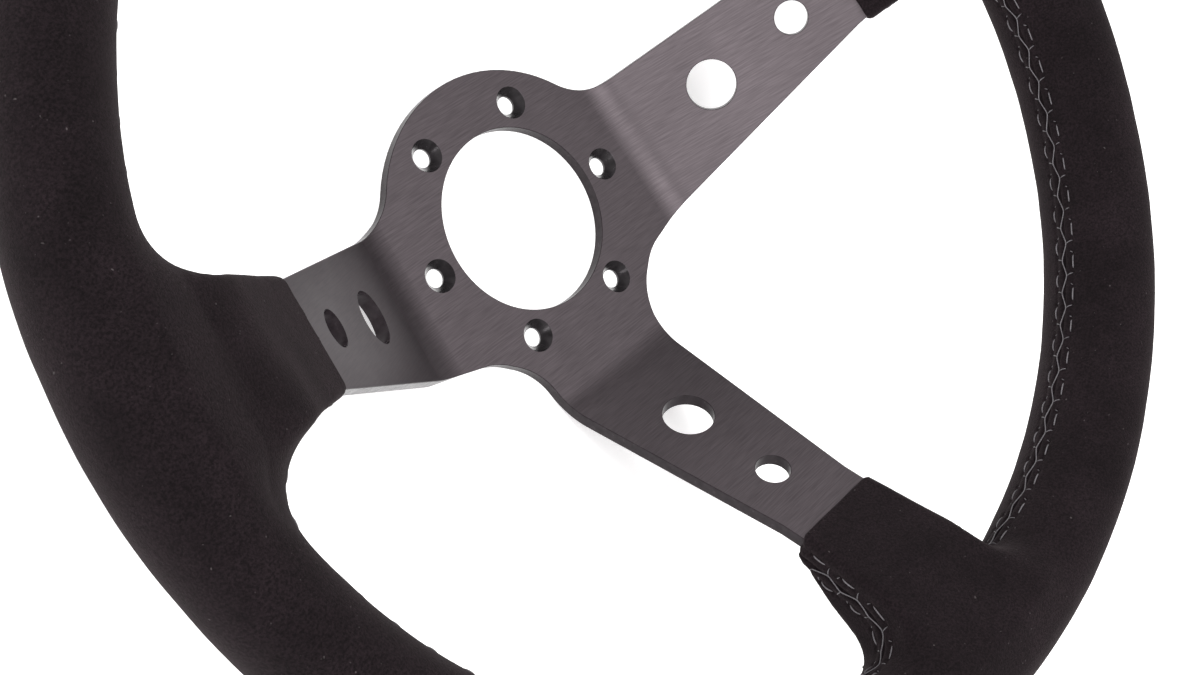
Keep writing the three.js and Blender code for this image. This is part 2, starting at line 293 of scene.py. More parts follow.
def front_path(bend, s):
    """Radius, height and slope of the front face, s along it from the wheel's axis."""
    lower, straight, upper = bend_lengths()
    s = np.asarray(s, float)
    a = np.clip((s - bend) / BEND_R, 0, SLOPE)
    run = np.clip(s - bend - lower, 0, straight)
    b = np.clip((s - bend - lower - straight) / OUTER_BEND_R, 0, SLOPE)
    rest = np.maximum(s - bend - lower - straight - upper, 0)
    radius = np.minimum(s, bend) + BEND_R * np.sin(a) + run * math.cos(SLOPE)
    radius += OUTER_BEND_R * (math.sin(SLOPE) - np.sin(SLOPE - b)) + rest
    height = PLATE_T + BEND_R * (1 - np.cos(a)) + run * math.sin(SLOPE)
    height += OUTER_BEND_R * (np.cos(SLOPE - b) - math.cos(SLOPE))
    return radius, height, a - b


def along_face(bend, radius):
    """The inverse of front_path's radius."""
    s = np.linspace(0, FACE_LENGTH, FACE_POINTS)
    return np.interp(radius, front_path(bend, s)[0], s)


def bend_lines(bend):
    lower, straight, upper = bend_lengths()
    first = bend + lower * np.linspace(0, 1, BEND_CUTS + 1)
    second = bend + lower + straight + upper * np.linspace(0, 1, BEND_CUTS + 1)
    return np.concatenate([first, second])


def edge_of_spoke(spoke, side):
    """(s, across) points of one side of a spoke in the flat blank, from the hub to the tip."""
    a = np.array([HUB_R, centre_line(spoke, HUB_R) + side * half_width(HUB_R)])
    b = np.array([TAPER_TO, centre_line(spoke, TAPER_TO) + side * half_width(TAPER_TO)])
    along = (b - a) / np.linalg.norm(b - a)
    away = side * np.array([-along[1], along[0]])
    offset = a @ away + HUB_FILLET
    centre = away * offset + along * math.sqrt((HUB_R + HUB_FILLET) ** 2 - offset**2)
    start = math.atan2(-centre[1], -centre[0])
    finish = math.atan2(-away[1], -away[0])
    sweep = (finish - start + math.pi) % TAU - math.pi
    angles = start + sweep * np.linspace(0, 1, FILLET_POINTS)
    arc = centre + HUB_FILLET * np.stack([np.cos(angles), np.sin(angles)], 1)
    tail = np.array([[r, centre_line(spoke, r) + side * half_width(r)]
                     for r in (TAPER_TO, SPOKE_END)])
    outline = np.vstack([arc, tail])
    s = along_face(spoke["bend"], outline[:, 0])
    fillet, straight = s[:FILLET_POINTS], s[FILLET_POINTS:]
    taper = np.linspace(fillet[-1], straight[0], TAPER_POINTS)
    steps = np.concatenate([fillet[::FILLET_STRIDE], bend_lines(spoke["bend"]), straight, taper])
    steps = np.unique(np.round(steps, 3))
    steps = steps[steps >= round(s[0], 3)]
    return np.stack([steps, np.interp(steps, s, outline[:, 1])], 1)


def blank_outline():
    """The flat blank's outline, anticlockwise, and the bend lines as pairs of its points."""
    points, folds = [], []
    order = [SPOKES[name] for name in ("right", "left", "bottom")]
    edges = [(edge_of_spoke(spoke, -1), edge_of_spoke(spoke, 1)) for spoke in order]
    for i, spoke in enumerate(order):
        near, far = edges[i]
        first = len(points)
        points += list(turn(near, spoke["azimuth"]))
        points += list(turn(far[::-1], spoke["azimuth"]))
        for s in bend_lines(spoke["bend"]):
            a = int(np.argmin(abs(near[:, 0] - s)))
            b = int(np.argmin(abs(far[:, 0] - s)))
            folds.append((first + a, first + len(near) + len(far) - 1 - b))
        following = order[(i + 1) % len(order)]
        start = turn(edges[(i + 1) % len(order)][0][:1], following["azimuth"])[0]
        begin = math.atan2(points[-1][1], points[-1][0])
        sweep = (math.atan2(start[1], start[0]) - begin) % TAU
        for step in np.linspace(0, 1, HUB_POINTS)[1:-1]:
            angle = begin + sweep * step
            points.append(np.array([HUB_R * math.cos(angle), HUB_R * math.sin(angle)]))
    return np.array(points), folds


def circle(centre, radius, count):
    angles = np.linspace(0, TAU, count, endpoint=False)
    return np.asarray(centre) + radius * np.stack([np.cos(angles), np.sin(angles)], 1)


def inset(loop, distance, hole):
    """The loop moved into the sheet's material."""
    along = np.roll(loop, -1, 0) - np.roll(loop, 1, 0)
    along /= np.linalg.norm(along, axis=1)[:, None]
    inward = np.stack([-along[:, 1], along[:, 0]], 1)
    return loop + inward * (-distance if hole else distance)


def plain_wall():
    return [(CHAMFER, 0), (0, CHAMFER), (0, PLATE_T - CHAMFER), (CHAMFER, PLATE_T)]


def countersunk_wall():
    wide = SINK_R - BOLT_R
    return [(wide + LIP, 0), (wide, LIP), (0, SINK_DEPTH), (LIP, PLATE_T)]


def blank_holes():
    """(centre, radius, points, wall) of every hole in the flat blank."""
    holes = [((0, 0), BORE_R, BORE_POINTS, plain_wall())]
    for i in range(BOLTS):
        angle = i * TAU / BOLTS
        spot = (BOLT_CIRCLE_R * math.cos(angle), BOLT_CIRCLE_R * math.sin(angle))
        holes.append((spot, BOLT_R, BOLT_POINTS, countersunk_wall()))
    for spoke in SPOKES.values():
        for at, radius in zip(spoke["holes"], HOLE_RADII):
            flat = [[along_face(spoke["bend"], at), centre_line(spoke, at)]]
            spot = turn(flat, spoke["azimuth"])[0]
            holes.append((spot, radius, HOLE_POINTS, plain_wall()))
        for side in (-1, 1):
            across = centre_line(spoke, RIVET_AT) + side * RIVET_SPACING / 2
            flat = [[along_face(spoke["bend"], RIVET_AT), across]]
            spot = turn(flat, spoke["azimuth"])[0]
            holes.append((spot, RIVET_HOLE_R, RIVET_POINTS, plain_wall()))
    return holes


def bend_up(flat, depth):
    """Points of the flat blank, a depth below its front face, in the bent sheet."""
    bent = np.column_stack([flat, np.full(len(flat), PLATE_T) - depth])
    for spoke in SPOKES.values():
        local = turn(flat, -spoke["azimuth"])
        moved = (local[:, 0] > spoke["bend"]) & (abs(local[:, 1]) < HUB_R)
        radius, height, slope = front_path(spoke["bend"], local[moved, 0])
        raised = np.column_stack([
            radius + depth * np.sin(slope), local[moved, 1], height - depth * np.cos(slope),
        ])
        bent[moved] = turn(raised, spoke["azimuth"])
    return bent


def triangles(loops, folds, holes):
    """Triangles, as indices into the stacked loops, that fill the first loop round the holes."""
    flat = np.vstack(loops)
    # A triangle outside a hole's polygon keeps its middle beyond the polygon's flats
    flats = [np.hypot(*(loop[0] - hole[0])) * math.cos(math.pi / len(loop))
             for loop, hole in zip(loops[1:], holes)]
    edges, first = [], 0
    for loop in loops:
        count = len(loop)
        edges += [(first + i, first + (i + 1) % count) for i in range(count)]
        first += count
    edges += folds
    inside_only, tolerance = 1, 1e-6
    result = delaunay_2d_cdt([Vector(p) for p in flat], edges, [], inside_only, tolerance)
    _, _, filled, sources, _, _ = result
    origin = [source[0] for source in sources]
    kept = []
    for face in filled:
        corners = [origin[i] for i in face]
        middle = flat[corners].mean(0)
        if all(np.hypot(*(middle - hole[0])) > reach for hole, reach in zip(holes, flats)):
            kept.append(corners)
    return kept


def make_plate():
    outline, folds = blank_outline()
    holes = blank_holes()
    loops = [(outline, plain_wall(), False)]
    # A hole's loop runs clockwise, so that the material is on its left as on the outline's
    loops += [(circle(centre, radius, count), wall, True) for centre, radius, count, wall in holes]
    vertices, blank, faces, slots = [], [], [], []
    front, rear = [], []
    total = 0
    for loop, wall, hole in loops:
        rings = []
        for distance, depth in wall:
            ring = inset(loop, distance, hole)
            vertices.append(bend_up(ring, depth))
            blank.append(ring)
            rings.append((total, ring))
            total += len(loop)
        front.append(rings[0])
        rear.append(rings[-1])
        count = len(loop)
        for (upper, _), (lower, _) in zip(rings, rings[1:]):
            faces += [(upper + i, lower + i, lower + (i + 1) % count, upper + (i + 1) % count)
                      for i in range(count)]
        finish = SINK_SLOT if wall == countersunk_wall() else EDGE_SLOT
        slots += [finish] * (len(faces) - len(slots))
    for side in (front, rear):
        index = np.concatenate([start + np.arange(len(ring)) for start, ring in side])
        faces += [tuple(int(index[i]) for i in corner)
                  for corner in triangles([ring for _, ring in side], folds, holes)]
    piece = new_mesh("bent_spoke_plate", np.vstack(vertices), faces)
    for polygon, slot in zip(piece.data.polygons, slots):
        polygon.material_index = slot
    blank = np.vstack(blank) * MM
    layer = piece.data.uv_layers.new(name="flat_blank")
    for corner, vertex in zip(layer.data, piece.data.loops):
        corner.uv = blank[vertex.vertex_index]
    smooth_with_creases(piece)
    normals = piece.modifiers.new("flat faces stay flat", "WEIGHTED_NORMAL")
    normals.keep_sharp = True
    return piece


# ---------- the grip's shape as a distance field ----------

def rim_distance(points):
    radial = np.hypot(points[:, 0], points[:, 1]) - RIM_R
    axial = points[:, 2] - RIM_Z
    u = radial * math.cos(GRIP_TILT) - axial * math.sin(GRIP_TILT)
    w = radial * math.sin(GRIP_TILT) + axial * math.cos(GRIP_TILT)
    near = np.sqrt((u / GRIP_RADIAL) ** 2 + (w / GRIP_AXIAL) ** 2) + 1e-9
    steep = np.sqrt((u / GRIP_RADIAL**2) ** 2 + (w / GRIP_AXIAL**2) ** 2) + 1e-9
    return near * (near - 1) / steep


def grip_point(angle, grow):
    """(radius, z) on the rim's section, made larger all round by grow."""
    radial = (GRIP_RADIAL + grow) * np.cos(angle)
    axial = (GRIP_AXIAL + grow) * np.sin(angle)
    return (RIM_R + radial * math.cos(GRIP_TILT) + axial * math.sin(GRIP_TILT),
            RIM_Z - radial * math.sin(GRIP_TILT) + axial * math.cos(GRIP_TILT))


def pad_start(spoke):
    return spoke["bend"] + PAD_FROM_BEND


def pad_profile(spoke):
    """The pad from the side, points of (radius, z)."""
    s = along_face(spoke["bend"], pad_start(spoke))
    radius, height, _ = front_path(spoke["bend"], s)
    normal = np.array([-math.sin(SLOPE), math.cos(SLOPE)])
    face = np.array([float(radius), float(height)])
    front = face + PAD_T * normal
    rear = face - (PLATE_T + PAD_T) * normal
    # The slope rolls over into the flat top on an arc
    knee = front[0] + (PAD_TOP_Z - front[1]) / math.tan(SLOPE) + KNEE_R * math.tan(SLOPE / 2)
    angles = SLOPE * np.linspace(0, 1, KNEE_POINTS)
    arc = np.column_stack([knee - KNEE_R * np.sin(angles),
                           PAD_TOP_Z - KNEE_R * (1 - np.cos(angles))])
    return np.vstack([
        front, rear, grip_point(PAD_REAR_ANGLE, -PAD_INSET), (RIM_R, RIM_Z),
        grip_point(PAD_FRONT_ANGLE, -PAD_INSET), arc,
    ])


def polygon_distance(points, corners):
    best = np.full(len(points), np.inf)
    inside = np.zeros(len(points), bool)
    for a, b in zip(corners, np.roll(corners, -1, 0)):
        edge, offset = b - a, points - a
        t = np.clip(offset @ edge / (edge @ edge), 0, 1)
        best = np.minimum(best, np.linalg.norm(offset - t[:, None] * edge, axis=1))
        crosses = (points[:, 1] >= a[1]) != (points[:, 1] >= b[1])
        if a[1] != b[1]:
            where = a[0] + (points[:, 1] - a[1]) * edge[0] / edge[1]
            inside ^= crosses & (points[:, 0] < where)
    return np.where(inside, -best, best)


def pad_distance(points, spoke):
    local = turn(points, -spoke["azimuth"])
    radius = np.clip(local[:, 0], pad_start(spoke) - PAD_LEAD, SPOKE_END)
    width = half_width(radius) + PAD_SIDE + PAD_FLARE * (radius - pad_start(spoke))
    corners = pad_profile(spoke)
    front = np.interp(local[:, 0], corners[[0, -1], 0], corners[[0, -1], 1])
    width += PAD_SPLAY * np.clip(front - local[:, 2], 0, SPLAY_DEPTH)
    sideways = abs(local[:, 1] - centre_line(spoke, radius)) - width
    profile = polygon_distance(local[:, [0, 2]], corners)
    a, b = sideways + PAD_ROUND, profile + PAD_ROUND
    outside = np.hypot(np.maximum(a, 0), np.maximum(b, 0))
    return outside + np.minimum(np.maximum(a, b), 0) - PAD_ROUND


def grip_distance(points):
    """The rim and the three pads as one shape, with their corners filled."""
    distance = rim_distance(points)
    for spoke in SPOKES.values():
        centre = [[PAD_CENTRE_R, centre_line(spoke, PAD_CENTRE_R)]]
        middle = turn(centre, spoke["azimuth"])[0]
        close = np.hypot(*(points[:, :2] - middle).T) < PAD_REACH
        pad = pad_distance(points[close], spoke)
        rim = distance[close]
        across = turn(points[close, :2] - middle, -spoke["azimuth"])[:, 1]
        fill = np.interp(across, (-PAD_MIDDLE, PAD_MIDDLE), spoke["blend"])
        # Only the corners differ: the crown is filled by the same amount everywhere
        crown = np.clip((points[close, 2] - RIM_Z) / PAD_CROWN, 0, 1)
        fill += (PAD_BLEND - fill) * crown
        # The filling fades out over the rim's own crown, which keeps its round outline there
        fade = np.clip((RIM_R + FADE_END - np.hypot(*points[close, :2].T)) / FADE_LENGTH, 0, 1)
        mix = fade * np.maximum(fill - abs(rim - pad), 0) / fill
        distance[close] = np.minimum(rim, pad) - mix**2 * fill / 4
    return distance


def gradient(field, points):
    step = 0.05
    slope = np.empty_like(points)
    for axis in range(3):
        shift = np.zeros(3)
        shift[axis] = step
        slope[:, axis] = field(points + shift) - field(points - shift)
    slope /= 2 * step
    return slope


def onto_surface(field, points, rounds=5):
    """Points moved to the surface, with the surface's normals there."""
    longest = 2
    for _ in range(rounds):
        slope = gradient(field, points)
        size = np.maximum((slope**2).sum(1), 1e-6)
        step = np.clip(field(points) / size, -longest, longest)
        points = points - step[:, None] * slope
    slope = gradient(field, points)
    return points, slope / np.linalg.norm(slope, axis=1)[:, None]


def surface_net(field, low, high, pitch):
    """Vertices and quads of the surface where the field is zero, from a grid of cells."""
    axes = [np.arange(a, b + pitch, pitch) for a, b in zip(low, high)]
    shape = [len(axis) for axis in axes]
    values = np.empty(shape, np.float32)
    plane = np.stack(np.meshgrid(axes[0], axes[1], indexing="ij"), -1).reshape(-1, 2)
    for k, z in enumerate(axes[2]):
        layer = field(np.column_stack([plane, np.full(len(plane), z)]))
        values[:, :, k] = layer.reshape(shape[0], shape[1])
    inside = values < 0
    cells = [n - 1 for n in shape]
    total = np.zeros(cells + [3])
    count = np.zeros(cells)
    corners = [(i, j, k) for i in (0, 1) for j in (0, 1) for k in (0, 1)]

    def block(array, corner):
        return array[tuple(slice(c, c + n) for c, n in zip(corner, cells))]

    for a in corners:
        for axis in range(3):
            if a[axis]:
                continue
            b = tuple(1 if i == axis else c for i, c in enumerate(a))
            va, vb = block(values, a), block(values, b)
            crosses = (va < 0) != (vb < 0)
            t = np.where(crosses, va / np.where(crosses, va - vb, 1), 0)
            for i in range(3):
                total[..., i] += np.where(crosses, a[i] + (t if i == axis else 0), 0)
            count += crosses
    used = count > 0
    index = -np.ones(cells, int)
    index[used] = np.arange(used.sum())
    place = np.stack(np.nonzero(used), 1) + total[used] / count[used][:, None]
    vertices = np.array(low) + place * pitch
    quads = []
    for axis in range(3):
        u, v = (axis + 1) % 3, (axis + 2) % 3
        near = [slice(1, n - 1) for n in shape]
        near[axis] = slice(0, shape[axis] - 1)
        ahead = list(near)
        ahead[axis] = slice(1, shape[axis])
        first, second = inside[tuple(near)], inside[tuple(ahead)]
        crossing = np.stack(np.nonzero(first != second), 1)
        starts_inside = first[first != second]
        base = crossing + [0 if i == axis else 1 for i in range(3)]
        ring = []
        for du, dv in ((0, 0), (1, 0), (1, 1), (0, 1)):
            cell = base.copy()
            cell[:, u] -= du
            cell[:, v] -= dv
            ring.append(index[tuple(cell.T)])
        quad = np.stack(ring, 1)
        quad[~starts_inside] = quad[~starts_inside][:, ::-1]
        quads.append(quad)
    return vertices, np.vstack(quads)


# ---------- seams along the windows ----------

def window_route(first, second):
    """A rough path along a window's edge, from one pad's end to the other's."""
    def side_points(spoke, side):
        radii = np.linspace(pad_start(spoke) + ROUTE_START, ROUTE_END_R, ROUTE_POINTS)
        width = half_width(radii) + PAD_SIDE + PAD_FLARE * (radii - pad_start(spoke))
        across = centre_line(spoke, radii) + side * width
        heights = np.interp(radii, radii[[0, -1]], (SEAM_LOW_Z, SEAM_HIGH_Z))
        return turn(np.column_stack([radii, across, heights]), spoke["azimuth"])

    a, b = side_points(SPOKES[first], 1), side_points(SPOKES[second], -1)[::-1]
    begin = math.atan2(a[-1, 1], a[-1, 0]) + ROUTE_GAP
    finish = math.atan2(b[0, 1], b[0, 0]) - ROUTE_GAP
    angles = begin + np.linspace(0, (finish - begin) % TAU, ARC_POINTS)
    radius, height = grip_point(SEAM_ANGLE, 1.0)
    arc = np.column_stack([radius * np.cos(angles), radius * np.sin(angles),
                           np.full(len(angles), height)])
    return np.vstack([a, arc, b])


def resample(points, spacing):
    """The same path with its points evenly spaced."""
    lengths = np.linalg.norm(np.diff(points, axis=0), axis=1)
    s = np.concatenate([[0], np.cumsum(lengths)])
    count = max(2, round(s[-1] / spacing) + 1)
    steps = np.linspace(0, s[-1], count)
    return np.stack([np.interp(steps, s, points[:, i]) for i in range(3)], 1)


def soften(points, rounds):
    """Rounds a path's corners off; its two ends stay."""
    for _ in range(rounds):
        points[1:-1] = (points[:-2] + 2 * points[1:-1] + points[2:]) / 4
    return points


class Seam:
    """A path on the grip: points, tangents, normals and the direction towards the driver's side."""

    def __init__(self, window):
        route = soften(resample(window_route(*WINDOWS[window]), ROUTE_SPACING), ROUTE_ROUNDS)
        points, _ = onto_surface(grip_distance, route)
        points = soften(resample(points, SEAM_SPACING), SEAM_ROUNDS)
        self.points, self.normals = onto_surface(grip_distance, points)
        tangents = np.gradient(self.points, axis=0)
        self.tangents = tangents / np.linalg.norm(tangents, axis=1)[:, None]
        side = np.cross(self.normals, self.tangents)
        side *= np.sign(side[:, 2].sum())
        self.sides = side / np.linalg.norm(side, axis=1)[:, None]
        steps = np.linalg.norm(np.diff(self.points, axis=0), axis=1)
        self.s = np.concatenate([[0], np.cumsum(steps)])
        self.length = self.s[-1]

    def along(self, s, values):
        """The values at s along the seam."""
        return np.stack([np.interp(s, self.s, values[:, i]) for i in range(3)], 1)

    def at(self, s, across, lift):
        """Points on the surface beside the seam, lifted along its normal."""
        rough = self.along(s, self.points) + across[:, None] * self.along(s, self.sides)
        points, normals = onto_surface(grip_distance, rough, 3)
        return points + lift[:, None] * normals


def knots(seam):
    """Where the lacing reaches furthest towards the driver, along the seam, and the pitch."""
    room = seam.length - FIRST_KNOT - LAST_KNOT
    count = round(room / STITCH_PITCH)
    pitch = room / count
    return FIRST_KNOT + pitch * np.arange(count), pitch


# ---------- thread ----------

def dash(seam, start, length, across):
    """One visible stitch: up out of its hole, along the suede and down again."""
    t = np.linspace(0, 1, DASH_POINTS)
    lift = THREAD_R - DASH_DIVE * np.abs(2 * t - 1) ** 5
    bow = DASH_BOW * math.copysign(1, across) * (1 - (2 * t - 1) ** 2)
    return seam.at(start + length * t, across + bow, lift)


def lace(seam, stops):
    """A thread laid on the suede through stops of (s, across, lift)."""
    stops = np.asarray(stops, float)
    t = np.linspace(0, 1, LACE_POINTS)[:, None]
    path = np.vstack([t * (b - a) + a for a, b in zip(stops, stops[1:])])
    return seam.at(path[:, 0], path[:, 1], path[:, 2])


def thread_piece(name, strands, radius):
    """Tubes along the strands, with round ends, as one mesh."""
    sides = TUBE_SIDES
    ring = np.linspace(0, TAU, sides, endpoint=False)
    vertices, faces, total = [], [], 0
    for line in strands:
        line = resample(soften(resample(line, SEAM_SPACING), TUBE_ROUNDS), TUBE_SPACING)
        along = np.gradient(line, axis=0)
        along /= np.linalg.norm(along, axis=1)[:, None]
        up = np.array([0.0, 0.0, 1.0])
        across = np.cross(along, up)
        across /= np.linalg.norm(across, axis=1)[:, None] + 1e-9
        over = np.cross(across, along)
        index = np.arange(len(line))
        ends = np.clip(np.minimum(index, index[::-1]) / TUBE_END_POINTS, TUBE_END_SCALE, 1)
        for i, centre in enumerate(line):
            offset = np.outer(np.cos(ring), across[i]) + np.outer(np.sin(ring), over[i])
            vertices.append(centre + radius * ends[i] * offset)
        for i in range(len(line) - 1):
            a, b = total + i * sides, total + (i + 1) * sides
            faces += [(a + j, a + (j + 1) % sides, b + (j + 1) % sides, b + j)
                      for j in range(sides)]
        last = total + (len(line) - 1) * sides
        faces.append(tuple(total + j for j in reversed(range(sides))))
        faces.append(tuple(last + j for j in range(sides)))
        total += len(line) * sides
    piece = new_mesh(name, np.vstack(vertices), faces)
    for polygon in piece.data.polygons:
        polygon.use_smooth = True
    return piece


def make_stitching(window, seam, material):
    """A running stitch along each edge, and a lace that hooks into both from side to side."""
    firsts, pitch = knots(seam)
    zigzag = []
    for first in firsts:
        zigzag += [(first, LACE_SWING, LACE_R), (first + 0.5 * pitch, -LACE_SWING, LACE_R)]
    laces = [lace(seam, zigzag)]
    rows = {1: [], -1: []}
    for first in firsts:
        for side, knot in ((1, first), (-1, first + 0.5 * pitch)):
            rows[side].append(dash(seam, knot + DASH_FROM * pitch, DASH * pitch, side * ROW_OFFSET))
            spur = knot + HOOK * pitch
            laces.append(lace(seam, [(knot, side * LACE_SWING, LACE_R),
                                     (spur, side * (ROW_OFFSET - LACE_DIVE), LACE_R),
                                     (spur, side * ROW_OFFSET, LACE_END)]))
            pull = knot + PULL * pitch
            if pull > 0:
                laces.append(lace(seam, [(pull + along, side * (ROW_OFFSET + across), lift)
                                         for along, across, lift in PULL_STOPS]))
    for name, strands, radius in (
        (f"lacing_{window}", laces, LACE_R),
        (f"stitch_row_inner_{window}", rows[1], THREAD_R),
        (f"stitch_row_rear_{window}", rows[-1], THREAD_R),
    ):
        settle(thread_piece(f"sewn_{name}", strands, radius), material, name)


# ---------- suede ----------

def nearest_on(seam_points, points):
    """Index of and distance to the nearest seam point, for points close to it."""
    tree = KDTree(len(seam_points))
    for i, point in enumerate(seam_points):
        tree.insert(point, i)
    tree.balance()
    found = [tree.find(point) for point in points]
    return np.array([f[1] for f in found]), np.array([f[2] for f in found])


def ripple(points, scale, seed):
    """Smooth values between -1 and 1 from a few sine waves of one scale."""
    rng = np.random.default_rng(seed)
    total = np.zeros(len(points))
    for _ in range(WAVES):
        wave = rng.normal(size=3)
        wave *= TAU / (scale * (0.7 + 0.6 * rng.random())) / np.linalg.norm(wave)
        total += np.sin(points @ wave + rng.random() * TAU)
    return total / 4


def bell(distance, width):
    return np.exp(-((distance / width) ** 2))


def add_seam(relief, points, seam):
    """The groove of a seam, the two raised edges beside it, its sunk rows and their holes."""
    low, high = seam.points.min(0) - SEAM_REACH, seam.points.max(0) + SEAM_REACH
    box = np.nonzero(((points > low) & (points < high)).all(1))[0]
    index, distance = nearest_on(seam.points, points[box])
    box, index, distance = (a[distance < SEAM_REACH] for a in (box, index, distance))
    across = ((points[box] - seam.points[index]) * seam.sides[index]).sum(1)
    s = seam.s[index]
    firsts, pitch = knots(seam)
    phase = (s - firsts[0]) / pitch
    relief[box] -= GROOVE_DEPTH * bell(across, GROOVE_WIDTH)
    relief[box] += SWELL_HEIGHT * bell(abs(across) - SWELL_AT, SWELL_WIDTH)
    for side, shift in ((1, 0.0), (-1, 0.5)):
        near_row = bell(across - side * ROW_OFFSET, ROW_WIDTH)
        for hole in (DASH_FROM, DASH_FROM + DASH, HOOK, PULL):
            gap = (phase - shift - hole + 0.5) % 1 - 0.5
            relief[box] -= HOLE_DEPTH * near_row * bell(gap * pitch, HOLE_WIDTH)
        relief[box] -= ROW_DEPTH * near_row


def add_hem(relief, points, spoke):
    """The turned-in hem at the end of a pad, a little uneven, and the groove where it ends."""
    local = turn(points, -spoke["azimuth"])
    edge = local[:, 0] - pad_start(spoke)
    close = abs(local[:, 1] - centre_line(spoke, HEM_CENTRE_R)) < HEM_REACH
    close &= (edge < HEM_AFTER) & (edge > -HEM_BEFORE)
    along = edge[close] / math.cos(SLOPE)
    height, length, seed = HEM_WANDER
    uneven = height * ripple(points[close], length, seed)
    relief[close] += HEM_HEIGHT / (1 + np.exp((along - HEM_LENGTH - uneven) / HEM_EDGE))
    relief[close] -= HEM_GROOVE_DEPTH * bell(along - HEM_GROOVE_AT - uneven, HEM_GROOVE_WIDTH)


def add_cross_seam(relief, points, degrees):
    """The groove between two panels and its two raised edges."""
    normal = np.array([-math.sin(math.radians(degrees)), math.cos(math.radians(degrees))])
    along = points[:, :2] @ np.array([normal[1], -normal[0]])
    across = points[:, :2] @ normal
    close = (along > 0) & (abs(across) < CROSS_REACH)
    relief[close] -= CROSS_DEPTH * bell(across[close], GROOVE_WIDTH)
    relief[close] += CROSS_HEIGHT * bell(abs(across[close]) - CROSS_SWELL_AT, SWELL_WIDTH)


def suede_relief(points, seams):
    """How far the suede stands off the plain grip, with a soft unevenness all over."""
    relief = sum(height * ripple(points, length, seed) for height, length, seed in UNEVENNESS)
    for seam in seams.values():
        add_seam(relief, points, seam)
    for spoke in SPOKES.values():
        add_hem(relief, points, spoke)
    for start, _ in PANELS.values():
        add_cross_seam(relief, points, start)
    return relief


def refine(mesh, test):
    """Splits the faces that the test picks into four."""
    centres = np.array([face.calc_center_median() for face in mesh.faces])
    picked = test(centres)
    edges = {edge for face, chosen in zip(mesh.faces, picked) if chosen for edge in face.edges}
    bmesh.ops.subdivide_edges(mesh, edges=list(edges), cuts=1, use_grid_fill=True)


def near_detail(seams, reach, pad_reach):
    """A test for points close to a seam or to the end of a pad."""
    paths = np.vstack([seam.points[::4] for seam in seams.values()])

    def test(points):
        _, distance = nearest_on(paths, points)
        picked = distance < reach
        for spoke in SPOKES.values():
            local = turn(points, -spoke["azimuth"])
            edge = abs(local[:, 0] - pad_start(spoke))
            picked |= (edge < pad_reach) & (abs(local[:, 1]) < HUB_R)
        return picked

    return test


def suede_mesh(seams):
    """The whole grip's skin as one mesh in millimetres, cut along the cross seams."""
    vertices, quads = surface_net(grip_distance, GRID_LOW, GRID_HIGH, GRID_PITCH)
    vertices, _ = onto_surface(grip_distance, vertices)
    mesh = bmesh.new()
    for vertex in vertices:
        mesh.verts.new(vertex)
    mesh.verts.ensure_lookup_table()
    for quad in quads:
        mesh.faces.new([mesh.verts[i] for i in quad])
    for reach, pad_reach in REFINEMENTS:
        refine(mesh, near_detail(seams, reach, pad_reach))
    for start, _ in PANELS.values():
        normal = (-math.sin(math.radians(start)), math.cos(math.radians(start)), 0)
        bmesh.ops.bisect_plane(mesh, geom=mesh.verts[:] + mesh.edges[:] + mesh.faces[:],
                               plane_co=(0, 0, 0), plane_no=normal, dist=0.02)
    points = np.array([vertex.co for vertex in mesh.verts])
    points, normals = onto_surface(grip_distance, points, 3)
    points += suede_relief(points, seams)[:, None] * normals
    for vertex, point in zip(mesh.verts, points):
        vertex.co = point
    return mesh


def cut_panel(mesh, name, start, finish):
    """The part of the skin between two directions, as a piece in metres."""
    panel = mesh.copy()
    outside = []
    for face in panel.faces:
        centre = face.calc_center_median()
        angle = (math.degrees(math.atan2(centre.y, centre.x)) - start) % 360
        if angle > finish - start:
            outside.append(face)
    bmesh.ops.delete(panel, geom=outside, context="FACES")
    bmesh.ops.scale(panel, vec=(MM, MM, MM), verts=panel.verts)
    for face in panel.faces:
        face.smooth = True
    data = bpy.data.meshes.new(name)
    panel.to_mesh(data)
    panel.free()
    piece = bpy.data.objects.new(name, data)
    bpy.context.scene.collection.objects.link(piece)
    return piece


def make_suede(seams, material):
    mesh = suede_mesh(seams)
    for name, (start, finish) in PANELS.items():
        piece = cut_panel(mesh, f"suede_panel_{name}", start, finish)
        leather = piece.modifiers.new("leather", "SOLIDIFY")
        leather.thickness = LEATHER_T * MM
        leather.offset = -1
        settle(piece, material, f"suede_cover_{name}")
    mesh.free()


# ---------- materials ----------

def node_material(name):
    material = bpy.data.materials.new(name)
    material.use_nodes = True
    return material, material.node_tree.nodes, material.node_tree.links


def noise_at(nodes, links, place, scale, detail, roughness=0.5):
    texture = nodes.new("ShaderNodeTexNoise")
    texture.inputs["Scale"].default_value = scale
    texture.inputs["Detail"].default_value = detail
    texture.inputs["Roughness"].default_value = roughness
    links.new(place, texture.inputs["Vector"])
    return texture.outputs["Fac"]


def noise(nodes, links, scale, detail, roughness=0.5):
    """Noise in the wheel's own coordinates, in features per metre."""
    place = nodes.new("ShaderNodeTexCoord")
    return noise_at(nodes, links, place.outputs["Object"], scale, detail, roughness)


def brushing(nodes, links, scale, detail, stretch):
    """Streaks along the blank's X, from the sheet's coordinates before it was bent."""
    place = nodes.new("ShaderNodeUVMap")
    place.uv_map = "flat_blank"
    mapping = nodes.new("ShaderNodeMapping")
    mapping.inputs["Scale"].default_value = (stretch, 1, 1)
    links.new(place.outputs["UV"], mapping.inputs["Vector"])
    return noise_at(nodes, links, mapping.outputs["Vector"], scale, detail)


